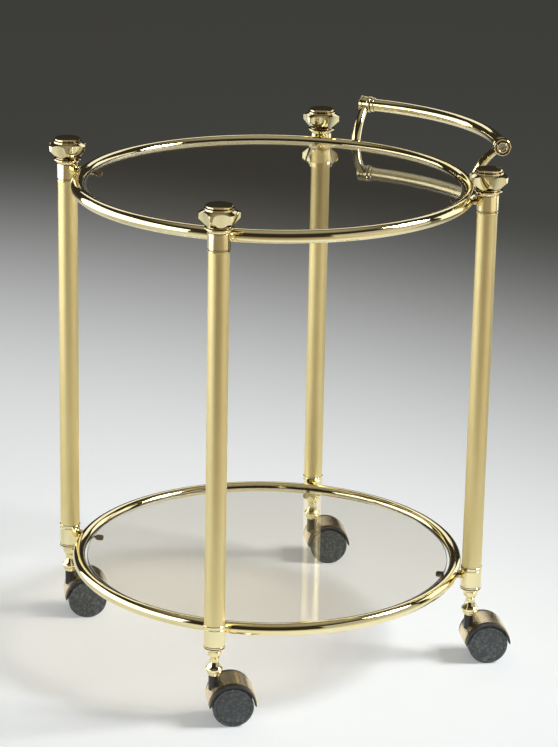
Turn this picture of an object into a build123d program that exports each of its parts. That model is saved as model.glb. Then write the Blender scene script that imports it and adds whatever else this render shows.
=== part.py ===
from build123d import *
import math
import os

# A round serving cart: two tube rings with glass panes, four posts on twin-wheel casters
# and a curved handle. Lengths are in millimetres, angles in degrees.
# The floor is z = 0, the handle is at the rear, towards +X, and the driver faces -X.

os.makedirs("parts", exist_ok=True)

# Overall sizes
ring_outer_diameter = 500.0
ring_spacing = 488.0
wheel_diameter = 50.0
foot_over_wheel = 10.0
caster_height = wheel_diameter + foot_over_wheel
foot_height = 38.6

# Rings
ring_tube_diameter = 16.0
ring_tube_wall = 1.2

# Posts
post_tube_diameter = 25.0
post_tube_wall = 1.5
post_standoff = 2.5
post_angles = {"rear_left": -45.0, "rear_right": 45.0, "front_right": 135.0, "front_left": 225.0}

# Collars: how far each stands over the post tube, and over and under the ring's tube
collar_oversize = 2.0
collar_waist_depth = 0.4
upper_collar_over_ring = 1.0
upper_collar_under_ring = 6.0
lower_collar_over_ring = 5.4
lower_collar_under_ring = 5.4
collar_groove_depth = 0.8
collar_edge = 0.5
upper_collar_lip = 2.4
upper_collar_groove = 1.5
lower_collar_rim = 3.4
lower_collar_groove = 1.8
spigot_length = 8.0
boss_diameter = 10.0
ring_dowel_diameter = 6.0
ring_dowel_reach = 1.5

# Tie rods and their threads
tie_rod_diameter = 8.0
tie_rod_in_foot = 12.6
tie_rod_in_finial = 16.0

# Finials: the height, how much wider than the collar each part is, and the flutes between the ears
finial_height = 32.0
finial_rim_oversize = 8.0
finial_neck_oversize = 2.4
ears_oversize = 21.4
shoulder_oversize = 8.4
cap_oversize = 5.4
cap_groove_depth = 0.9
ear_count = 6
flute_radius = 20.0
flute_lean = 18.0
flute_off_neck = 0.4
cap_chamfer = 0.8
finial_ear_turns = {"rear_left": 1.0, "rear_right": -44.0, "front_right": 1.0, "front_left": -23.0}

# Feet
foot_undersize = 0.6

# Glass panes and the capped pins that carry them
glass_edge_gap = 2.0
glass_thickness = 4.0
glass_rise = 2.8
glass_edge_round = 1.2
pin_diameter = 3.6
pin_reach = 12.0
pin_cap_diameter = 7.4
pin_cap_end = 1.4
pin_cap_gap = 3.0
pin_cap_round = 2.4

# Casters
caster_trail = 21.0
caster_trail_angle = -24.0
caster_width = 50.0
web_thickness = 8.0
wheel_side_gap = 0.5
wheel_top_gap = 1.0
fender_thickness = 2.5
fender_tip_rise = 3.0
web_hub_diameter = 18.0
hood_thickness = 1.05
hood_width = 36.0
hood_edge_rise = 1.0
hood_groove_inset = 3.0
hood_groove_width = 0.8
hood_groove_depth = 0.35
block_diameter = 13.5
block_length = 20.0
stem_diameter = 8.0
stem_in_foot = 20.0
stem_reach = 14.0
stem_flange_diameter = 12.6
stem_flange_thickness = 1.0
stem_end_chamfer = 0.6
grip_groove_depth = 0.7
grip_groove_width = 2.2
grip_groove_height = 14.0
grip_ring_slot = 1.2
axle_diameter = 6.0
axle_in_wheel = 15.0
axle_end_chamfer = 0.5

# Handle
handle_turn = 3.0
handle_rise = 49.0
handle_outset = 36.6
handle_rod_diameter = 16.0
handle_rod_wall = 1.3
arm_half_angle = 30.0
arm_root_diameter = 12.6
arm_tip_diameter = 9.6
arm_root_outset = 5.4
arm_root_rise = 1.5
arm_bulge_share = 0.115
socket_oversize = 5.0
socket_length = 15.0
bead_length = 4.5
socket_end_wall = 3.0
handle_screw_diameter = 5.0
handle_screw_head_diameter = 8.5
handle_screw_head_height = 3.2
handle_screw_sink = 1.2
handle_screw_key_width = 4.0
handle_screw_key_depth = 1.8
handle_screw_length = 9.0
handle_plug_length = 11.0

# Clearances
thread_clearance = 0.05
seat_clearance = 0.05
rod_clearance = 0.25
swivel_clearance = 0.06
axle_clearance = 0.06
moving_gap = 0.3
bore_spare = 0.5
overrun = 3.0

# Sizes, heights and radii that follow
collar_diameter = post_tube_diameter + collar_oversize
foot_diameter = collar_diameter - foot_undersize
socket_diameter = handle_rod_diameter + socket_oversize
ring_tube_radius = ring_tube_diameter / 2
upper_collar_above = ring_tube_radius + upper_collar_over_ring
upper_collar_below = ring_tube_radius + upper_collar_under_ring
lower_collar_above = ring_tube_radius + lower_collar_over_ring
lower_collar_below = ring_tube_radius + lower_collar_under_ring
ring_radius = ring_outer_diameter / 2 - ring_tube_radius
lower_ring_height = caster_height + foot_height + lower_collar_below
upper_ring_height = lower_ring_height + ring_spacing
foot_top = caster_height + foot_height
post_tube_base = lower_ring_height + lower_collar_above
post_tube_top = upper_ring_height - upper_collar_below
finial_base = upper_ring_height + upper_collar_above
post_circle_radius = ring_outer_diameter / 2 + post_standoff + collar_diameter / 2
post_bore_radius = post_tube_diameter / 2 - post_tube_wall
spigot_radius = post_bore_radius - seat_clearance
rod_hole_radius = tie_rod_diameter / 2 + rod_clearance
thread_hole_radius = tie_rod_diameter / 2 + thread_clearance
handle_arc_radius = ring_outer_diameter / 2
handle_height = upper_ring_height + handle_rise

# The upright axis of the rings stands off the origin, so that the cart's box is centred there
handle_far_reach = handle_outset * math.cos(math.radians(handle_turn)) + handle_arc_radius
handle_far_reach += handle_rod_diameter / 2
axis_x = -(handle_far_reach - ring_outer_diameter / 2) / 2

# Outlines of turned pieces: share of the largest radius, share of the height, and the bulge
# of the stretch that leads to the point as a share of its length
foot_shares = (
    (0.0, 0.0, 0.0),
    (0.61, 0.0, 0.0),
    (0.66, 0.04, 0.0),
    (0.70, 0.075, 0.0),
    (0.70, 0.117, 0.0),
    (0.80, 0.142, 0.2),
    (0.815, 0.165, 0.0),
    (0.815, 0.215, 0.0),
    (0.78, 0.235, 0.0),
    (0.455, 0.44, 0.07),
    (0.455, 0.47, 0.0),
    (0.63, 0.645, 0.14),
    (0.70, 0.675, 0.0),
    (0.86, 0.868, 0.10),
    (0.895, 0.882, 0.0),
    (0.985, 0.898, 0.0),
    (1.0, 0.924, -0.1),
    (0.93, 0.936, 0.0),
    (0.93, 0.958, 0.0),
    (1.0, 0.966, 0.0),
    (1.0, 0.988, 0.0),
    (0.96, 1.0, 0.0),
    (0.0, 1.0, 0.0),
)
wheel_shares = (
    (0.0, 0.0, 0.0),
    (0.94, 0.0, 0.0),
    (1.0, 0.06, -0.2),
    (1.0, 0.90, 0.0),
    (0.94, 0.965, -0.2),
    (0.83, 0.965, 0.0),
    (0.815, 0.945, 0.0),
    (0.80, 0.965, 0.0),
    (0.16, 1.0, -0.009),
    (0.0, 1.0, 0.0),
)
socket_shares = (
    (0.0, 0.0, 0.0),
    (0.82, 0.0, 0.0),
    (0.886, 0.06, -0.2),
    (0.886, 0.17, 0.0),
    (0.82, 0.215, -0.2),
    (0.82, 0.24, 0.0),
    (0.94, 0.255, 0.0),
    (1.0, 0.30, -0.15),
    (1.0, 0.42, 0.0),
    (0.945, 0.47, 0.0),
    (0.945, 0.78, 0.0),
    (1.0, 0.83, 0.0),
    (1.0, 0.96, 0.0),
    (0.955, 1.0, -0.2),
    (0.90, 1.0, 0.0),
    (0.86, 0.975, -0.2),
    (0.86, 0.90, 0.0),
    (0.70, 0.90, 0.0),
    (0.70, 0.957, 0.0),
    (0.46, 0.957, -0.34),
    (0.0, 0.957, 0.0),
)
finial_level_shares = {
    "tip": 0.14,
    "tip_top": 0.165,
    "neck": 0.195,
    "neck_top": 0.23,
    "ear": 0.52,
    "ear_top": 0.72,
    "shoulder": 0.82,
    "shoulder_top": 0.885,
    "groove": 0.90,
    "groove_top": 0.92,
    "cap": 0.935,
}
finial_flare_share = 0.08


def direction(angle):
    """Level direction at an angle from +X."""
    turn = math.radians(angle)
    return Vector(math.cos(turn), math.sin(turn), 0)


def place(angle, radius, height=0):
    """Point at an angle and a distance from the upright axis of the rings."""
    return Vector(axis_x, 0, height) + direction(angle) * radius


def level_plane(origin, angle):
    """Level plane whose X points at the angle."""
    return Plane(origin=origin, x_dir=direction(angle), z_dir=Vector(0, 0, 1))


def upright_plane(origin, angle):
    """Upright plane whose X points at the angle and whose Y points up."""
    return Plane(origin=origin, x_dir=direction(angle), z_dir=direction(angle - 90))


def facing_plane(origin, angle):
    """Upright plane that faces the angle, with its X level."""
    return Plane(origin=origin, x_dir=direction(angle + 90), z_dir=direction(angle))


def turn_outline(points, plane):
    """Turn a closed outline about the plane's Y. A point is its radius, its height and, where the
    stretch that leads to it is an arc, the arc's bulge share."""
    corners = [(point[0], point[1]) for point in points]
    bulges = [point[2] if len(point) > 2 else 0 for point in points]
    with BuildSketch(plane) as outline:
        with BuildLine():
            for index, corner in enumerate(corners):
                before = corners[index - 1]
                if bulges[index]:
                    SagittaArc(before, corner, bulges[index] * math.dist(before, corner))
                else:
                    Line(before, corner)
        make_face()
    revolve(outline.sketch, axis=Axis(plane.origin, plane.y_dir))


def scaled(shares, radius, height):
    """Real sizes of an outline that is written in shares."""
    return [(share[0] * radius, share[1] * height, share[2]) for share in shares]


def leaning_plane(edge_point, angle, lean, radius):
    """Plane that leans outwards, centred where a circle of the radius in it touches the point."""
    turn = math.radians(lean)
    across = direction(angle) * math.cos(turn) - Vector(0, 0, math.sin(turn))
    upwards = direction(angle) * math.sin(turn) + Vector(0, 0, math.cos(turn))
    return Plane(origin=edge_point + across * radius, x_dir=across, z_dir=upwards)


def drill(plane, radius, depth, mode=Mode.SUBTRACT):
    """Round hole, or with Mode.ADD a round pin, along the plane's normal."""
    with BuildSketch(plane) as section:
        Circle(radius)
    extrude(section.sketch, amount=depth, mode=mode)


def keep(piece, name):
    """Label a finished piece and write it to its own file."""
    piece.part.label = name
    export_step(piece.part, f"parts/{name}.step")


# Rings

def ring(name, height):
    """Tube bent to a full circle, with a hole in its outer side for each collar's dowel."""
    with BuildPart() as ring_tube:
        with BuildSketch(upright_plane(place(0, 0, height), 0)):
            with Locations((ring_radius, 0)):
                Circle(ring_tube_radius)
                Circle(ring_tube_radius - ring_tube_wall, mode=Mode.SUBTRACT)
        revolve(axis=Axis((axis_x, 0, 0), (0, 0, 1)))
        for angle in post_angles.values():
            dowel_start = facing_plane(place(angle, ring_radius, height), angle)
            drill(dowel_start, ring_dowel_diameter / 2 + seat_clearance, ring_tube_diameter)
    keep(ring_tube, name)


ring("ring_lower", lower_ring_height)
ring("ring_upper", upper_ring_height)


# Glass panes

glass_radius = ring_radius - ring_tube_radius - glass_edge_gap


def glass_pane(name, ring_height):
    """Round pane with a ground edge, lying inside its ring on four capped pins."""
    with BuildPart() as pane:
        bottom = ring_height + glass_rise - glass_thickness
        with BuildSketch(level_plane(place(0, 0, bottom), 0)):
            Circle(glass_radius)
        extrude(amount=glass_thickness)
        fillet(pane.edges().filter_by(GeomType.CIRCLE), glass_edge_round)
    keep(pane, name)


glass_pane("glass_lower", lower_ring_height)
glass_pane("glass_upper", upper_ring_height)


# Pins that carry the glass, saddled on the inner side of the rings, and their rubber caps

pin_drop = glass_thickness + moving_gap + pin_cap_diameter / 2 - glass_rise
pin_tip_radius = ring_radius - ring_tube_radius - pin_reach
pin_places = [
    (angle, ring_height - pin_drop)
    for ring_height in (lower_ring_height, upper_ring_height)
    for angle in post_angles.values()
]

with BuildPart() as glass_pins:
    for pin_angle, pin_height in pin_places:
        tip = facing_plane(place(pin_angle, pin_tip_radius, pin_height), pin_angle)
        drill(tip, pin_diameter / 2, pin_reach + ring_tube_radius, mode=Mode.ADD)
    with Locations((axis_x, 0, lower_ring_height), (axis_x, 0, upper_ring_height)):
        Torus(ring_radius, ring_tube_radius + seat_clearance, mode=Mode.SUBTRACT)
keep(glass_pins, "glass_pins")

with BuildPart() as pin_caps:
    for pin_angle, pin_height in pin_places:
        cap_tip = facing_plane(place(pin_angle, pin_tip_radius - pin_cap_end, pin_height), pin_angle)
        drill(cap_tip, pin_cap_diameter / 2, pin_reach + pin_cap_end - pin_cap_gap, mode=Mode.ADD)
    fillet(pin_caps.edges().filter_by(GeomType.CIRCLE), pin_cap_round)
    for pin_angle, pin_height in pin_places:
        cap_bore = facing_plane(place(pin_angle, pin_tip_radius - seat_clearance, pin_height), pin_angle)
        drill(cap_bore, pin_diameter / 2 + seat_clearance, pin_reach + overrun)
keep(pin_caps, "pin_caps")


# Posts

def post_tube(name, angle):
    """Plain tube between the two collars."""
    with BuildPart() as tube:
        with BuildSketch(level_plane(place(angle, post_circle_radius, post_tube_base), angle)):
            Circle(post_tube_diameter / 2)
            Circle(post_bore_radius, mode=Mode.SUBTRACT)
        extrude(amount=post_tube_top - post_tube_base)
    keep(tube, name)


def boss_to_ring(angle, ring_height):
    """Round boss from a collar to its ring, hollowed to the ring's tube, with a dowel into it."""
    axis_plane = facing_plane(place(angle, post_circle_radius, ring_height), angle + 180)
    drill(axis_plane, boss_diameter / 2, post_circle_radius - ring_radius, mode=Mode.ADD)
    with Locations((axis_x, 0, ring_height)):
        Torus(ring_radius, ring_tube_radius + seat_clearance, mode=Mode.SUBTRACT)
    dowel_end = ring_outer_diameter / 2 - ring_tube_wall - ring_dowel_reach
    drill(axis_plane, ring_dowel_diameter / 2, post_circle_radius - dowel_end, mode=Mode.ADD)


def upper_collar(name, angle):
    """Collar between a post tube and its finial, with a lip, a groove over it and a spigot in the tube."""
    radius = collar_diameter / 2
    groove = radius - collar_groove_depth
    lip_top = upper_collar_lip - upper_collar_below
    centre = place(angle, post_circle_radius, upper_ring_height)
    with BuildPart() as collar:
        turn_outline(
            (
                (0, -upper_collar_below - spigot_length),
                (spigot_radius, -upper_collar_below - spigot_length),
                (spigot_radius, -upper_collar_below),
                (radius - collar_edge, -upper_collar_below),
                (radius, -upper_collar_below + collar_edge),
                (radius, lip_top - collar_edge),
                (radius - collar_edge, lip_top),
                (groove, lip_top),
                (groove, lip_top + upper_collar_groove),
                (radius - collar_edge, lip_top + upper_collar_groove),
                (radius, lip_top + upper_collar_groove + collar_edge),
                (radius, upper_collar_above - collar_edge),
                (radius - collar_edge, upper_collar_above),
                (0, upper_collar_above),
            ),
            upright_plane(centre, angle),
        )
        boss_to_ring(angle, upper_ring_height)
        hole_start = centre - Vector(0, 0, upper_collar_below + spigot_length)
        hole_length = upper_collar_below + spigot_length + upper_collar_above
        drill(level_plane(hole_start, angle), rod_hole_radius, hole_length)
    keep(collar, name)


def lower_collar(name, angle):
    """Collar between a foot and its post tube, with a rim, a groove under it and a spigot in the tube."""
    radius = collar_diameter / 2
    waist = radius - collar_waist_depth
    groove = radius - collar_groove_depth
    groove_top = lower_collar_above - lower_collar_rim
    centre = place(angle, post_circle_radius, lower_ring_height)
    with BuildPart() as collar:
        turn_outline(
            (
                (0, -lower_collar_below),
                (waist - collar_edge, -lower_collar_below),
                (waist, -lower_collar_below + collar_edge),
                (waist, groove_top - lower_collar_groove),
                (groove, groove_top - lower_collar_groove + collar_edge),
                (groove, groove_top),
                (radius, groove_top + collar_edge),
                (radius, lower_collar_above - collar_edge),
                (radius - collar_edge, lower_collar_above),
                (spigot_radius, lower_collar_above),
                (spigot_radius, lower_collar_above + spigot_length),
                (0, lower_collar_above + spigot_length),
            ),
            upright_plane(centre, angle),
        )
        boss_to_ring(angle, lower_ring_height)
        hole_length = lower_collar_below + lower_collar_above + spigot_length
        hole_start = centre - Vector(0, 0, lower_collar_below)
        drill(level_plane(hole_start, angle), rod_hole_radius, hole_length)
    keep(collar, name)


def finial(name, angle, ear_turn):
    """Finial: flared rim, neck, fluted bell that widens into six ears, stepped shoulder and round cap."""
    foot_edge = collar_diameter / 2 - collar_edge
    rim = (collar_diameter + finial_rim_oversize) / 2
    neck = (collar_diameter + finial_neck_oversize) / 2
    ear = (collar_diameter + ears_oversize) / 2
    shoulder = (collar_diameter + shoulder_oversize) / 2
    cap = (collar_diameter + cap_oversize) / 2
    groove = cap - cap_groove_depth
    base = place(angle, post_circle_radius, finial_base)
    level = {part: share * finial_height for part, share in finial_level_shares.items()}
    with BuildPart() as knob:
        turn_outline(
            (
                (0, 0),
                (foot_edge, 0),
                (foot_edge + collar_edge, collar_edge),
                (rim, level["tip"], finial_flare_share),
                (rim, level["tip_top"]),
                (neck, level["neck"]),
                (neck, level["neck_top"]),
                (ear, level["ear"]),
                (ear, level["ear_top"]),
                (shoulder, level["shoulder"]),
                (shoulder, level["shoulder_top"]),
                (groove, level["groove"]),
                (groove, level["groove_top"]),
                (cap, level["cap"]),
                (cap, finial_height - cap_chamfer),
                (cap - cap_chamfer, finial_height),
                (0, finial_height),
            ),
            upright_plane(base, angle),
        )
        for index in range(ear_count):
            flute_angle = ear_turn + (index + 0.5) * 360 / ear_count
            flute_foot = base + direction(flute_angle) * (neck + flute_off_neck)
            flute_foot += Vector(0, 0, level["neck_top"])
            flute = leaning_plane(flute_foot, flute_angle, flute_lean, flute_radius)
            drill(flute, flute_radius, finial_height)
        drill(level_plane(base, angle), thread_hole_radius, tie_rod_in_finial + bore_spare)
    keep(knob, name)


def foot(name, angle):
    """Turned foot under a post, bored from above for the tie rod and from below for the caster's stem."""
    bottom = place(angle, post_circle_radius, caster_height)
    with BuildPart() as turning:
        turn_outline(scaled(foot_shares, foot_diameter / 2, foot_height), upright_plane(bottom, angle))
        stem_hole_radius = stem_diameter / 2 + seat_clearance
        drill(level_plane(bottom, angle), stem_hole_radius, stem_in_foot + bore_spare)
        rod_end = place(angle, post_circle_radius, foot_top - tie_rod_in_foot - bore_spare)
        drill(level_plane(rod_end, angle), thread_hole_radius, tie_rod_in_foot + overrun)
    keep(turning, name)


for corner, post_angle in post_angles.items():
    post_tube(f"{corner}_post_tube", post_angle)
    upper_collar(f"{corner}_upper_collar", post_angle)
    lower_collar(f"{corner}_lower_collar", post_angle)
    finial(f"{corner}_finial", post_angle, finial_ear_turns[corner])
    foot(f"{corner}_foot", post_angle)

with BuildPart() as tie_rods:
    for post_angle in post_angles.values():
        rod_start = foot_top - tie_rod_in_foot
        rod_length = finial_base + tie_rod_in_finial - rod_start
        rod_plane = level_plane(place(post_angle, post_circle_radius, rod_start), post_angle)
        drill(rod_plane, tie_rod_diameter / 2, rod_length, mode=Mode.ADD)
keep(tie_rods, "tie_rods")


# Casters, each with its swivel axis on its post and its wheels trailing to one side

wheel_radius = wheel_diameter / 2
fender_inner_radius = wheel_radius + wheel_top_gap
fender_outer_radius = fender_inner_radius + fender_thickness
wheel_inner_face = web_thickness / 2 + wheel_side_gap
wheel_width = caster_width / 2 - wheel_inner_face
stem_bottom = caster_height - stem_reach
block_top = caster_height - stem_flange_thickness - moving_gap
block_bottom = caster_height - block_length
grip_groove_radius = stem_diameter / 2 - grip_groove_depth


def wheel_centre(angle):
    """Middle of a caster's axle."""
    swivel = place(angle, post_circle_radius, wheel_radius)
    return swivel + direction(caster_trail_angle) * caster_trail


def caster_stem(name, angle):
    """Steel stem: fixed in the foot by its grip ring, with a flange, and the housing's pivot below."""
    upper = caster_height + stem_in_foot
    groove = caster_height + grip_groove_height
    radius = stem_diameter / 2
    with BuildPart() as stem:
        turn_outline(
            (
                (0, stem_bottom),
                (radius - stem_end_chamfer, stem_bottom),
                (radius, stem_bottom + stem_end_chamfer),
                (radius, caster_height - stem_flange_thickness),
                (stem_flange_diameter / 2, caster_height - stem_flange_thickness),
                (stem_flange_diameter / 2, caster_height),
                (radius, caster_height),
                (radius, groove),
                (grip_groove_radius, groove),
                (grip_groove_radius, groove + grip_groove_width),
                (radius, groove + grip_groove_width),
                (radius, upper - stem_end_chamfer),
                (radius - stem_end_chamfer, upper),
                (0, upper),
            ),
            upright_plane(place(angle, post_circle_radius), angle),
        )
    keep(stem, name)


def caster_housing(name, angle):
    """Housing: centre web, fender over both wheels, and the block that turns on the stem."""
    centre = wheel_centre(angle)
    side = upright_plane(centre, caster_trail_angle)
    block = level_plane(place(angle, post_circle_radius, block_bottom), caster_trail_angle)
    cavity_depth = caster_width / 2 - web_thickness / 2
    with BuildPart() as housing:
        drill(block, block_diameter / 2, block_top - block_bottom, mode=Mode.ADD)
        for side_angle in (caster_trail_angle - 90, caster_trail_angle + 90):
            face = facing_plane(centre + direction(side_angle) * (web_thickness / 2), side_angle)
            drill(face, fender_inner_radius, cavity_depth)
        with BuildSketch(side):
            Circle(fender_outer_radius)
            Circle(fender_inner_radius, mode=Mode.SUBTRACT)
            with BuildLine():
                Polyline(
                    (-caster_width, -caster_width),
                    (-caster_width, 0),
                    (-fender_outer_radius, 0),
                    (-fender_inner_radius, fender_tip_rise),
                    (fender_inner_radius, fender_tip_rise),
                    (fender_outer_radius, 0),
                    (caster_width, 0),
                    (caster_width, -caster_width),
                    close=True,
                )
            make_face(mode=Mode.SUBTRACT)
        extrude(amount=caster_width / 2, both=True)
        with BuildSketch(side):
            Circle(fender_outer_radius)
            with Locations((0, -fender_outer_radius + fender_tip_rise)):
                Rectangle(caster_width + caster_width, fender_outer_radius * 2, mode=Mode.SUBTRACT)
            Circle(web_hub_diameter / 2)
        extrude(amount=web_thickness / 2, both=True)
        bore_bottom = place(angle, post_circle_radius, stem_bottom - bore_spare)
        bore_plane = level_plane(bore_bottom, caster_trail_angle)
        drill(bore_plane, stem_diameter / 2 + swivel_clearance, stem_reach + overrun)
        axle_start = facing_plane(centre - side.z_dir * web_thickness, caster_trail_angle - 90)
        drill(axle_start, axle_diameter / 2 + seat_clearance, web_thickness * 2)
    keep(housing, name)


def caster_hood(name, angle):
    """Thin metal band over the fender, grooved along both edges and notched for the block."""
    side = upright_plane(wheel_centre(angle), caster_trail_angle)
    inner_radius = fender_outer_radius + seat_clearance
    outer_radius = inner_radius + hood_thickness
    with BuildPart() as hood:
        with BuildSketch(side):
            Circle(outer_radius)
            Circle(inner_radius, mode=Mode.SUBTRACT)
            with Locations((0, hood_edge_rise - outer_radius)):
                Rectangle(outer_radius * 3, outer_radius * 2, mode=Mode.SUBTRACT)
        extrude(amount=hood_width / 2, both=True)
        for edge in (-1, 1):
            groove_middle = edge * (hood_width / 2 - hood_groove_inset)
            with BuildSketch(side.offset(groove_middle - hood_groove_width / 2)) as groove:
                Circle(outer_radius + overrun)
                Circle(outer_radius - hood_groove_depth, mode=Mode.SUBTRACT)
            extrude(groove.sketch, amount=hood_groove_width, mode=Mode.SUBTRACT)
        notch = place(angle, post_circle_radius, block_bottom - moving_gap)
        drill(level_plane(notch, angle), block_diameter / 2 + moving_gap, caster_height)
    keep(hood, name)


def caster_axle(name, angle):
    """Steel axle, held in the web, that both wheels turn on."""
    half_length = web_thickness / 2 + axle_in_wheel
    heading = caster_trail_angle - 90
    start = facing_plane(wheel_centre(angle) - direction(heading) * half_length, heading)
    with BuildPart() as axle:
        drill(start, axle_diameter / 2, half_length * 2, mode=Mode.ADD)
        chamfer(axle.edges().filter_by(GeomType.CIRCLE), axle_end_chamfer)
    keep(axle, name)


def caster_wheel(name, angle, side_angle):
    """Moulded wheel with a domed outer face, bored from its inner face for the axle."""
    face_centre = wheel_centre(angle) + direction(side_angle) * wheel_inner_face
    outline = Plane(origin=face_centre, x_dir=Vector(0, 0, 1), z_dir=direction(side_angle + 90))
    bore_depth = axle_in_wheel - wheel_side_gap + bore_spare
    with BuildPart() as wheel:
        turn_outline(scaled(wheel_shares, wheel_radius, wheel_width), outline)
        drill(facing_plane(face_centre, side_angle), axle_diameter / 2 + axle_clearance, bore_depth)
    keep(wheel, name)


for corner, post_angle in post_angles.items():
    caster_stem(f"{corner}_caster_stem", post_angle)
    caster_housing(f"{corner}_caster_housing", post_angle)
    caster_hood(f"{corner}_caster_hood", post_angle)
    caster_axle(f"{corner}_caster_axle", post_angle)
    caster_wheel(f"{corner}_caster_wheel_a", post_angle, caster_trail_angle - 90)
    caster_wheel(f"{corner}_caster_wheel_b", post_angle, caster_trail_angle + 90)

with BuildPart() as stem_grip_rings:
    for post_angle in post_angles.values():
        groove_floor = caster_height + grip_groove_height + seat_clearance
        ring_plane = level_plane(place(post_angle, post_circle_radius, groove_floor), post_angle)
        with BuildSketch(ring_plane):
            Circle(stem_diameter / 2)
            Circle(grip_groove_radius + seat_clearance, mode=Mode.SUBTRACT)
            with Locations((stem_diameter / 2, 0)):
                Rectangle(stem_diameter / 2, grip_ring_slot, mode=Mode.SUBTRACT)
        extrude(amount=grip_groove_width - seat_clearance * 2)
keep(stem_grip_rings, "stem_grip_rings")


# Handle: a bent tube in two end sockets, each on a tapered arm that stands on the upper ring

arc_centre = place(handle_turn, handle_outset, handle_height)
arm_offset = handle_outset * math.sin(math.radians(arm_half_angle))
arm_lean = math.degrees(math.asin(arm_offset / handle_arc_radius))
bead_to_middle = bead_length + socket_length / 2
arc_half_angle = arm_half_angle + arm_lean - math.degrees(bead_to_middle / handle_arc_radius)
socket_depth = bead_length + socket_length
screw_head_depth = handle_screw_sink + handle_screw_head_height
socket_bore_depth = socket_depth - socket_end_wall - screw_head_depth
handle_rod_in_socket = socket_bore_depth - moving_gap
handle_sides = {"left": -1, "right": 1}


def socket_start(side):
    """Point where the rod enters its socket, and the direction in which it goes in."""
    along = direction(handle_turn + side * arc_half_angle)
    heading = handle_turn + side * (arc_half_angle + 90)
    return arc_centre + along * handle_arc_radius, heading


with BuildPart() as handle_rod:
    with BuildLine(level_plane(arc_centre, handle_turn)) as rod_path:
        bend = CenterArc((0, 0), handle_arc_radius, -arc_half_angle, arc_half_angle * 2)
        Line(bend @ 0, (bend @ 0) - (bend % 0) * handle_rod_in_socket)
        Line(bend @ 1, (bend @ 1) + (bend % 1) * handle_rod_in_socket)
    path = rod_path.wire()
    with BuildSketch(Plane(origin=path @ 0, z_dir=path % 0)):
        Circle(handle_rod_diameter / 2)
        Circle(handle_rod_diameter / 2 - handle_rod_wall, mode=Mode.SUBTRACT)
    sweep(path=path)
keep(handle_rod, "handle_rod")


def handle_socket(name, side):
    """Turned end socket with a bead, a ringed end face and a sunk screw."""
    start, heading = socket_start(side)
    outline = Plane(origin=start, x_dir=Vector(0, 0, 1), z_dir=direction(heading + 90))
    face = facing_plane(start + direction(heading) * socket_depth, heading + 180)
    with BuildPart() as socket:
        turn_outline(scaled(socket_shares, socket_diameter / 2, socket_depth), outline)
        drill(facing_plane(start, heading), handle_rod_diameter / 2 + seat_clearance, socket_bore_depth)
        drill(face, handle_screw_head_diameter / 2 + rod_clearance, screw_head_depth)
        drill(face, handle_screw_diameter / 2 + rod_clearance, socket_depth)
    keep(socket, name)


def handle_arm(name, side):
    """Tapered arm that curves outwards from the upper ring to its socket, saddled at both ends."""
    arm_angle = handle_turn + side * arm_half_angle
    start, heading = socket_start(side)
    socket_middle = start + direction(heading) * bead_to_middle
    side_plane = upright_plane(place(0, 0, upper_ring_height), arm_angle)
    root = (ring_radius + arm_root_outset, arm_root_rise)
    tip = (side_plane.to_local_coords(socket_middle).X, handle_rise)
    chord = math.dist(root, tip)
    with BuildPart() as arm:
        with BuildLine(side_plane) as centre_line:
            SagittaArc(root, tip, arm_bulge_share * chord)
        curve = centre_line.edge()
        with BuildSketch(Plane(origin=curve @ 0, z_dir=curve % 0)) as root_section:
            Circle(arm_root_diameter / 2)
        with BuildSketch(Plane(origin=curve @ 1, z_dir=curve % 1)) as tip_section:
            Circle(arm_tip_diameter / 2)
        sweep(sections=[root_section.sketch, tip_section.sketch], path=curve, multisection=True)
        with Locations((axis_x, 0, upper_ring_height)):
            Torus(ring_radius, ring_tube_radius + seat_clearance, mode=Mode.SUBTRACT)
        drill(facing_plane(start, heading), socket_diameter / 2 + seat_clearance, socket_depth)
    keep(arm, name)


for side_name, side_sign in handle_sides.items():
    handle_socket(f"handle_{side_name}_socket", side_sign)
    handle_arm(f"handle_{side_name}_arm", side_sign)

plug_radius = handle_rod_diameter / 2 - handle_rod_wall - seat_clearance

with BuildPart() as handle_plugs:
    for side_sign in handle_sides.values():
        socket_point, socket_heading = socket_start(side_sign)
        rod_end = socket_point + direction(socket_heading) * handle_rod_in_socket
        plug_plane = facing_plane(rod_end, socket_heading + 180)
        drill(plug_plane, plug_radius, handle_plug_length, mode=Mode.ADD)
        drill(plug_plane, handle_screw_diameter / 2 + thread_clearance, handle_plug_length)
keep(handle_plugs, "handle_plugs")

with BuildPart() as handle_screws:
    for side_sign in handle_sides.values():
        socket_point, socket_heading = socket_start(side_sign)
        head_top = socket_point + direction(socket_heading) * (socket_depth - handle_screw_sink)
        screw_plane = facing_plane(head_top, socket_heading + 180)
        drill(screw_plane, handle_screw_head_diameter / 2, handle_screw_head_height, mode=Mode.ADD)
        shank_length = handle_screw_head_height + socket_end_wall + handle_screw_length
        drill(screw_plane, handle_screw_diameter / 2, shank_length, mode=Mode.ADD)
        with BuildSketch(screw_plane) as key_socket:
            RegularPolygon(handle_screw_key_width / 2, 6, major_radius=False)
        extrude(key_socket.sketch, amount=handle_screw_key_depth, mode=Mode.SUBTRACT)
keep(handle_screws, "handle_screws")
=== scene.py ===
import math
from collections import namedtuple

import bmesh
import bpy
from mathutils import Matrix, Vector


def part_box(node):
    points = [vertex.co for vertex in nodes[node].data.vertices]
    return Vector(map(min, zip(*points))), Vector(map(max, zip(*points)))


# A round serving cart in polished brass, satin gold and smoked glass. Lengths are in metres and angles
# in degrees. The floor is z = 0 and the handle is at the rear, towards +X.

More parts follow.
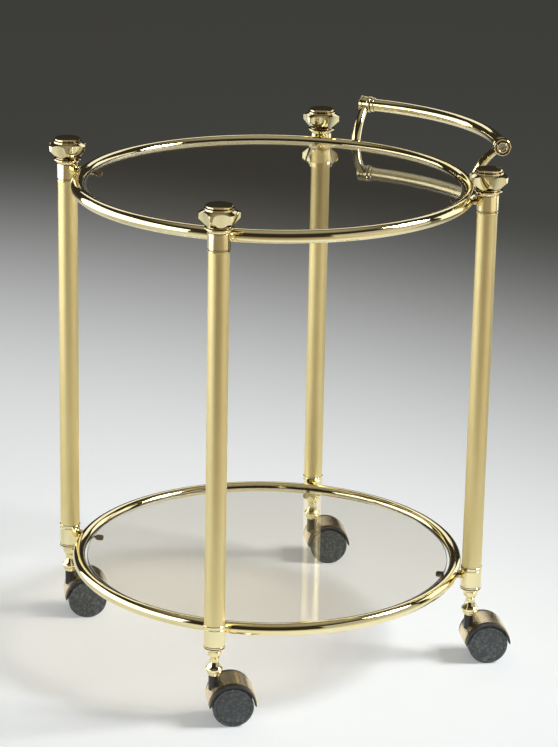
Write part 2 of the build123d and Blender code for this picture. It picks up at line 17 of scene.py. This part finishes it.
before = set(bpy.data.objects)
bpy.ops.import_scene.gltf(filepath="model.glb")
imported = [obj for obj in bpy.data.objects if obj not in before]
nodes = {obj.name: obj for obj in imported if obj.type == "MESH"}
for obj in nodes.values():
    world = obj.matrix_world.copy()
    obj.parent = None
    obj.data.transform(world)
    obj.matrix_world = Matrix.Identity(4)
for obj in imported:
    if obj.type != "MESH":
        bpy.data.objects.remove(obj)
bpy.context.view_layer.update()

corners = ("rear_left", "rear_right", "front_right", "front_left")
levels = ("lower", "upper")

# Camera, at the height and the bearing of the photograph. The frame's pixels are those of its long side,
# and the sensor's width is in millimetres.
frame_pixels = 747
focal_pixels = 2612.0
sensor_width = 36.0
nearest_seen = 0.05
farthest_seen = 200.0
camera_place = Vector((-1.666, -2.662, 1.380))
camera_heading = 58.11
camera_tilt = 18.12
camera_roll = 1.11

# Floor with a painted pool of light: pale round the cart and charcoal far from it, with one smooth fade
# between two distances from the pool's centre, which lies to the left of the cart in the camera's view.
# The dark share is what is left of the paint and the glow beyond the fade.
floor_radius = 40.0
floor_sides = 96
pool_centre = (-1.3, 0.42)
pool_inner = 1.15
pool_outer = 3.15
floor_paint = 0.80
floor_glow = 0.34
dark_share = 0.085
pale_tint = (0.975, 1.005, 1.02)
dark_tint = (1.02, 1.025, 0.94)

# In front of the cart, beyond the camera's view, the floor turns brown and the metal mirrors it. The
# turn starts and ends at two distances from the cart's axis along a bearing.
front_bearing = 262.0
front_start = 0.55
front_full = 1.05
front_paint = (0.48, 0.41, 0.31)
front_glow = (0.15, 0.128, 0.096)

# Room round the stage. The mirrored ceiling starts and is full where the upward part of a direction
# reaches these shares.
surround_colour = (0.048, 0.048, 0.045)
mirrored_surround_colour = (0.030, 0.026, 0.021)
mirrored_ceiling_colour = (0.34, 0.31, 0.26)
ceiling_start = 0.74
ceiling_full = 0.97

# Softboxes, each at a bearing and a distance from the rings' axis. One whose lower edge is under the
# limit stands upright on the floor, and the others tilt towards the aim height.
Softbox = namedtuple("Softbox", "bearing distance low high width brightness")
softboxes = {
    "left_softbox": Softbox(151.0, 2.0, 0.03, 1.75, 3.6, 2.2),
    "right_softbox": Softbox(300.0, 2.2, 0.03, 1.6, 2.6, 0.45),
    "right_rear_softbox": Softbox(3.0, 2.3, 0.03, 1.6, 2.0, 1.2),
    "far_softbox": Softbox(58.0, 12.0, 5.4, 10.6, 11.0, 1.0),
    "key_softbox": Softbox(325.0, 2.1, 1.5, 2.4, 0.9, 29.0),
}
low_edge_limit = 0.3
aim_height = 0.3

# Two tones of each finish, which blend in soft clouds
brass_tones = ((0.94, 0.84, 0.50), (0.91, 0.80, 0.45))
gold_tones = ((0.85, 0.725, 0.37), (0.81, 0.68, 0.33))
hood_tones = ((0.90, 0.77, 0.50), (0.84, 0.70, 0.46))
steel_tones = ((0.60, 0.60, 0.62), (0.50, 0.50, 0.50))
rubber_tones = ((0.13, 0.09, 0.04), (0.20, 0.15, 0.08))
housing_tones = ((0.022, 0.021, 0.022), (0.05, 0.045, 0.04))
wheel_tones = ((0.080, 0.089, 0.092), (0.22, 0.24, 0.243))

# Glass: its tone, that of its ground edge, and what its shadow lets through
glass_tone = (0.90, 0.87, 0.80)
ground_edge_tone = (0.62, 0.66, 0.60)
glass_shadow_tone = (0.56, 0.52, 0.46)
ground_edge_width = 0.0016
ground_edge_full = 0.0008
glass_index = {"lower": 1.25, "upper": 1.5}

# Painted shade in the brass pieces' grooves, full where the open share of the sky above a spot is under the
# first share and gone over the second
groove_reach = 0.004
groove_samples = 6
groove_shade_full = 0.55
groove_shade_gone = 0.95
groove_shade_colour = (0.16, 0.09, 0.035)
lacquer_index = 1.45


class Wire:
    """A value in a shader's node tree. Arithmetic on it adds Math nodes."""

    def __init__(self, tree, socket=None):
        self.tree = tree
        self.socket = socket

    def node(self, kind, settings=None, output=0, **sockets):
        """Add any other node: its settings first, then the values or links of its sockets.

        A socket is named with _ for each space, or numbered after a _ where names repeat."""
        made = self.tree.nodes.new("ShaderNode" + kind)
        for name, value in (settings or {}).items():
            setattr(made, name, value)
        for name, value in sockets.items():
            key = int(name[1:]) if name[0] == "_" else name.replace("_", " ")
            if isinstance(value, Wire):
                self.tree.links.new(value.socket, made.inputs[key])
            else:
                made.inputs[key].default_value = value
        return Wire(self.tree, made.outputs[output])

    def maths(self, operation, first, *others):
        sockets = {f"_{index}": value for index, value in enumerate((first, *others))}
        return self.node("Math", {"operation": operation}, **sockets)

    def __add__(self, other):
        return self.maths("ADD", self, other)

    def __mul__(self, other):
        return self.maths("MULTIPLY", self, other)

    __radd__ = __add__
    __rmul__ = __mul__

    def root(self):
        return self.maths("SQRT", self)

    def fade(self, low, high):
        """0 below low, 1 above high and smooth between them."""
        smooth = {"interpolation_type": "SMOOTHSTEP"}
        return self.node("MapRange", smooth, Value=self, From_Min=low, From_Max=high)

    def blend(self, first, second):
        """Colour between two colours, with this value as the share of the second."""
        first, second = (side if isinstance(side, Wire) else rgb(side) for side in (first, second))
        return self.node("Mix", {"data_type": "RGBA"}, output=2, _0=self, _6=first, _7=second)


def rgb(colour):
    """Opaque colour as a socket takes it."""
    return (*colour, 1.0)


def new_material(name):
    """Empty material, and the wire that its nodes start from."""
    made = bpy.data.materials.new(name)
    made.use_nodes = True
    made.node_tree.nodes.clear()
    return made, Wire(made.node_tree)


def link_output(start, shader):
    out = start.tree.nodes.new("ShaderNodeOutputMaterial")
    start.tree.links.new(shader.socket, out.inputs["Surface"])


def place(start):
    return start.node("TexCoord", output="Object")


def place_from(start, centre):
    """Object coordinates with their origin moved to a point."""
    moved = tuple(-part for part in centre)
    return start.node("Mapping", {"vector_type": "POINT"}, Vector=place(start), Location=moved)


def split(start, vector):
    """The three parts of a vector."""
    parts = start.node("SeparateXYZ", Vector=vector).socket.node
    return [Wire(start.tree, out) for out in parts.outputs]


def noise(start, vector, scale, detail=3.0, roughness=0.55):
    return start.node("TexNoise", Vector=vector, Scale=scale, Detail=detail, Roughness=roughness)


def from_axis(start, centre):
    """Distance from an upright axis, and height."""
    x, y, z = split(start, place_from(start, centre))
    return (x * x + y * y).root(), z


def metal(start, tone, rough, bump, **coat):
    return start.node("BsdfPrincipled", Base_Color=tone, Metallic=1.0, Roughness=rough, Normal=bump, **coat)


def with_groove_shade(start, tone):
    """Colour that darkens with painted shade in grooves and along seams, where little of the sky above a
    spot is open.
    """
    settings = {"samples": groove_samples}
    # The open share of the sky above a spot sets how much painted shade darkens the colour
    open_share = start.node("AmbientOcclusion", settings, output="AO", Distance=groove_reach)
    return open_share.fade(groove_shade_full, groove_shade_gone).blend(groove_shade_colour, tone)


def brass(name, centre):
    """Polished and lacquered brass with faint polishing marks about an upright axis, and painted shade in
    its grooves.
    """
    made, start = new_material(name)
    radius, height = from_axis(start, centre)
    marks = noise(start, start.node("CombineXYZ", X=radius, Y=0.0, Z=height), scale=2600.0, detail=2.0)
    smears = noise(start, place(start), scale=34.0, detail=4.0, roughness=0.6)
    clouds = noise(start, place(start), scale=9.0)
    # The brass tone, darkened by painted shade in its grooves and seams
    tone = with_groove_shade(start, clouds.fade(0.35, 0.7).blend(*brass_tones))
    rough = 0.045 + smears.fade(0.45, 0.8) * 0.05 + marks.fade(0.45, 0.75) * 0.025
    bump = start.node("Bump", Height=marks, Strength=0.025, Distance=0.0004)
    coat = {"Coat_Weight": 0.25, "Coat_Roughness": 0.04, "Coat_IOR": lacquer_index}
    link_output(start, metal(start, tone, rough, bump, **coat))
    return made


def satin_gold(name, centre):
    """Satin anodised tube in pale gold, with fine lines along it."""
    made, start = new_material(name)
    here = place_from(start, centre)
    x, y, z = split(start, here)
    turn = start.maths("ARCTAN2", y, x)
    drawn = start.node("CombineXYZ", X=turn * 60.0, Y=0.0, Z=z * 6.0)
    lines = noise(start, drawn, scale=4.0, roughness=0.65)
    grain = noise(start, here, scale=1500.0, detail=2.0)
    clouds = noise(start, here, scale=12.0)
    tone = clouds.fade(0.3, 0.75).blend(*gold_tones)
    rough = 0.37 + lines.fade(0.3, 0.8) * 0.08 + grain * 0.04
    bump = start.node("Bump", Height=lines * 0.6 + grain * 0.4, Strength=0.05, Distance=0.0003)
    link_output(start, metal(start, tone, rough, bump))
    return made


def smoked_glass(name, centre, edge_radius, index):
    """Lightly smoked clear glass with a ground edge, and a shadow that lets light through."""
    made, start = new_material(name)
    radius, _ = from_axis(start, centre)
    edge = radius.fade(edge_radius - ground_edge_width, edge_radius - ground_edge_full)
    tone = edge.blend(glass_tone, ground_edge_tone)
    glass = start.node("BsdfPrincipled", Base_Color=tone, Roughness=edge * 0.35, IOR=index,
                       Transmission_Weight=1.0)
    clear = start.node("BsdfTransparent", Color=rgb(glass_shadow_tone))
    shadow = start.node("LightPath", output="Is Shadow Ray")
    link_output(start, start.node("MixShader", _0=shadow, _1=glass, _2=clear))
    return made


def moulded_plastic(name, tones, gloss, patch_scale):
    """Moulded caster plastic with fine grain, and dust in the second tone."""
    made, start = new_material(name)
    grain = noise(start, place(start), scale=900.0)
    patches = noise(start, place(start), scale=patch_scale, detail=5.0, roughness=0.65)
    tone = patches.fade(0.42, 0.72).blend(*tones)
    rough = gloss + patches.fade(0.4, 0.7) * 0.18
    bump = start.node("Bump", Height=grain * 0.7 + patches * 0.3, Strength=0.25, Distance=0.0004)
    link_output(start, start.node("BsdfPrincipled", Base_Color=tone, Roughness=rough, Normal=bump))
    return made


def plated_steel(name):
    """Zinc-plated steel with faint mottling."""
    made, start = new_material(name)
    mottle = noise(start, place(start), scale=260.0, detail=4.0)
    tone = mottle.fade(0.35, 0.7).blend(*steel_tones)
    rough = 0.22 + mottle * 0.16
    bump = start.node("Bump", Height=mottle, Strength=0.08, Distance=0.0003)
    link_output(start, metal(start, tone, rough, bump))
    return made


def smooth_rubber(name):
    """Smooth olive-brown rubber with a soft shine."""
    made, start = new_material(name)
    grain = noise(start, place(start), scale=700.0)
    tone = grain.fade(0.3, 0.8).blend(*rubber_tones)
    rough = 0.22 + grain * 0.1
    bump = start.node("Bump", Height=grain, Strength=0.1, Distance=0.0002)
    shader = start.node("BsdfPrincipled", Base_Color=tone, Roughness=rough, Normal=bump,
                        Coat_Weight=0.5, Coat_Roughness=0.08, Coat_IOR=lacquer_index)
    link_output(start, shader)
    return made


def satin_brass(name):
    """Thin pressed brass with a satin finish, finely scratched."""
    made, start = new_material(name)
    grain = noise(start, place(start), scale=1700.0, detail=2.0)
    smears = noise(start, place(start), scale=60.0, detail=4.0, roughness=0.6)
    tone = smears.fade(0.35, 0.7).blend(*hood_tones)
    rough = 0.20 + smears.fade(0.4, 0.8) * 0.08 + grain * 0.05
    bump = start.node("Bump", Height=grain, Strength=0.05, Distance=0.0003)
    link_output(start, metal(start, tone, rough, bump))
    return made


def middle(node):
    low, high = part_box(node)
    return (low + high) / 2


def dress(node, material):
    """Give a piece of the frame its finish."""
    nodes[node].data.materials.clear()
    nodes[node].data.materials.append(material)


# Finishes on the frame's pieces

ring_axis = middle("ring_lower")
ring_foot = (ring_axis.x, ring_axis.y, 0)
glass_low, glass_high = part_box("glass_lower")
glass_radius = (glass_high.x - glass_low.x) / 2
ring_brass = brass("ring_brass", ring_foot)
housing_plastic = moulded_plastic("housing_plastic", housing_tones, gloss=0.28, patch_scale=75.0)
wheel_plastic = moulded_plastic("wheel_plastic_dull", wheel_tones, gloss=0.48, patch_scale=260.0)
steel = plated_steel("plated_steel")
olive_rubber = smooth_rubber("olive_rubber")
hood_brass = satin_brass("hood_brass")

for node in ("ring_lower", "ring_upper", "glass_pins", "handle_rod", "handle_left_arm", "handle_right_arm",
             "handle_left_socket", "handle_right_socket"):
    dress(node, ring_brass)
for level in levels:
    glass = smoked_glass(f"{level}_smoked_glass", ring_foot, glass_radius, glass_index[level])
    dress(f"glass_{level}", glass)
for node in ("tie_rods", "stem_grip_rings", "handle_plugs", "handle_screws"):
    dress(node, steel)
dress("pin_caps", olive_rubber)
for corner in corners:
    axis = middle(f"{corner}_post_tube")
    post_foot = (axis.x, axis.y, 0)
    turned_brass = brass(f"{corner}_turned_brass", post_foot)
    for piece in ("upper_collar", "lower_collar", "finial", "foot"):
        dress(f"{corner}_{piece}", turned_brass)
    dress(f"{corner}_caster_hood", hood_brass)
    dress(f"{corner}_post_tube", satin_gold(f"{corner}_satin_gold", post_foot))
    dress(f"{corner}_caster_housing", housing_plastic)
    for wheel in ("a", "b"):
        dress(f"{corner}_caster_wheel_{wheel}", wheel_plastic)
    for piece in ("caster_stem", "caster_axle"):
        dress(f"{corner}_{piece}", steel)


# Stage, lights and camera

def pool_colours(strength):
    """The floor's colours in the middle of the pool and beyond its edge."""
    pale = [strength * part for part in pale_tint]
    dark = [strength * dark_share * part for part in dark_tint]
    return pale, dark


def floor_finish():
    """Pale floor with a painted pool of light, which darkens to charcoal far from the cart and turns brown
    in front of it.

    Its glow shows to the camera, in the metal and through the glass, and lights nothing."""
    made, start = new_material("studio_floor")
    from_pool, _ = from_axis(start, (*pool_centre, 0))
    # Painted pool of light: the floor's paint and glow darken from the pool's centre outwards
    dark = from_pool.fade(pool_inner, pool_outer)
    x, y, z = split(start, place_from(start, ring_foot))
    turn = math.radians(front_bearing)
    front = (x * math.cos(turn) + y * math.sin(turn)).fade(front_start, front_full)
    paint = front.blend(dark.blend(*pool_colours(floor_paint)), front_paint)
    glow = front.blend(dark.blend(*pool_colours(floor_glow)), front_glow)
    matt = start.node("BsdfDiffuse", Color=paint)
    both = start.node("AddShader", _0=matt, _1=start.node("Emission", Color=glow, Strength=1.0))
    rays = ("Is Camera Ray", "Is Glossy Ray", "Is Transmission Ray")
    direct, mirrored, through = (start.node("LightPath", output=ray) for ray in rays)
    shown = start.maths("MINIMUM", direct + mirrored + through, 1.0)
    link_output(start, start.node("MixShader", _0=shown, _1=matt, _2=both))
    return made


def make_floor():
    shape = bmesh.new()
    bmesh.ops.create_circle(shape, cap_ends=True, segments=floor_sides, radius=floor_radius)
    mesh = bpy.data.meshes.new("studio_floor")
    shape.to_mesh(mesh)
    shape.free()
    floor = bpy.data.objects.new("studio_floor", mesh)
    bpy.context.scene.collection.objects.link(floor)
    mesh.materials.append(floor_finish())
    return floor


def make_softbox(name, box):
    """Soft light that faces the cart, upright where it stands on the floor. Its power follows its area."""
    turn = math.radians(box.bearing)
    outwards = Vector((math.cos(turn), math.sin(turn), 0))
    middle_height = Vector((0, 0, (box.low + box.high) / 2))
    spot = Vector(ring_foot) + outwards * box.distance + middle_height
    aim = Vector((ring_axis.x, ring_axis.y, spot.z if box.low < low_edge_limit else aim_height))
    lamp = bpy.data.lights.new(name, "AREA")
    lamp.shape = "RECTANGLE"
    lamp.size = box.width
    lamp.size_y = box.high - box.low
    lamp.energy = box.brightness * math.pi * box.width * (box.high - box.low)
    holder = bpy.data.objects.new(name, lamp)
    bpy.context.scene.collection.objects.link(holder)
    holder.location = spot
    holder.rotation_mode = "QUATERNION"
    holder.rotation_quaternion = (aim - spot).to_track_quat("-Z", "Y")
    holder.visible_camera = False
    holder.visible_transmission = False
    return holder


def keep_off(name, lamps, surfaces):
    """Let these lamps light all but these surfaces, where their edges would draw hard lines."""
    unlit = bpy.data.collections.new(name)
    for surface in surfaces:
        unlit.objects.link(surface)
    for entry in unlit.collection_objects:
        entry.light_linking.link_state = "EXCLUDE"
    for lamp in lamps:
        lamp.light_linking.receiver_collection = unlit


def make_surround():
    """Charcoal room for the camera, and in reflections a darker one with a pale ceiling."""
    world = bpy.data.worlds.new("studio")
    bpy.context.scene.world = world
    world.use_nodes = True
    start = Wire(world.node_tree)
    x, y, upward = split(start, start.node("TexCoord", output="Generated"))
    ceiling = upward.fade(ceiling_start, ceiling_full)
    mirrored = ceiling.blend(mirrored_surround_colour, mirrored_ceiling_colour)
    tone = start.node("LightPath", output="Is Camera Ray").blend(mirrored, surround_colour)
    background = world.node_tree.nodes["Background"]
    world.node_tree.links.new(tone.socket, background.inputs["Color"])


def make_camera():
    heading, tilt = math.radians(camera_heading), math.radians(camera_tilt)
    level_reach = math.cos(tilt)
    ahead = Vector((level_reach * math.cos(heading), level_reach * math.sin(heading), -math.sin(tilt)))
    lens = bpy.data.cameras.new("camera")
    lens.sensor_width = sensor_width
    lens.lens = focal_pixels * sensor_width / frame_pixels
    lens.clip_start = nearest_seen
    lens.clip_end = farthest_seen
    holder = bpy.data.objects.new("camera", lens)
    bpy.context.scene.collection.objects.link(holder)
    level = ahead.to_track_quat("-Z", "Y")
    roll = Matrix.Rotation(math.radians(camera_roll), 4, "Z")
    holder.matrix_world = Matrix.Translation(camera_place) @ level.to_matrix().to_4x4() @ roll
    bpy.context.scene.camera = holder


floor = make_floor()
lamps = {name: make_softbox(name, box) for name, box in softboxes.items()}
panes = [nodes[f"glass_{level}"] for level in levels]
low_lamps = [lamps[name] for name, box in softboxes.items() if box.low < low_edge_limit]
keep_off("not_lit_by_low_softboxes", low_lamps, [floor, *panes])
keep_off("not_lit_by_far_softbox", [lamps["far_softbox"]], panes)
make_surround()
make_camera()
bpy.context.scene.view_settings.view_transform = "Standard"
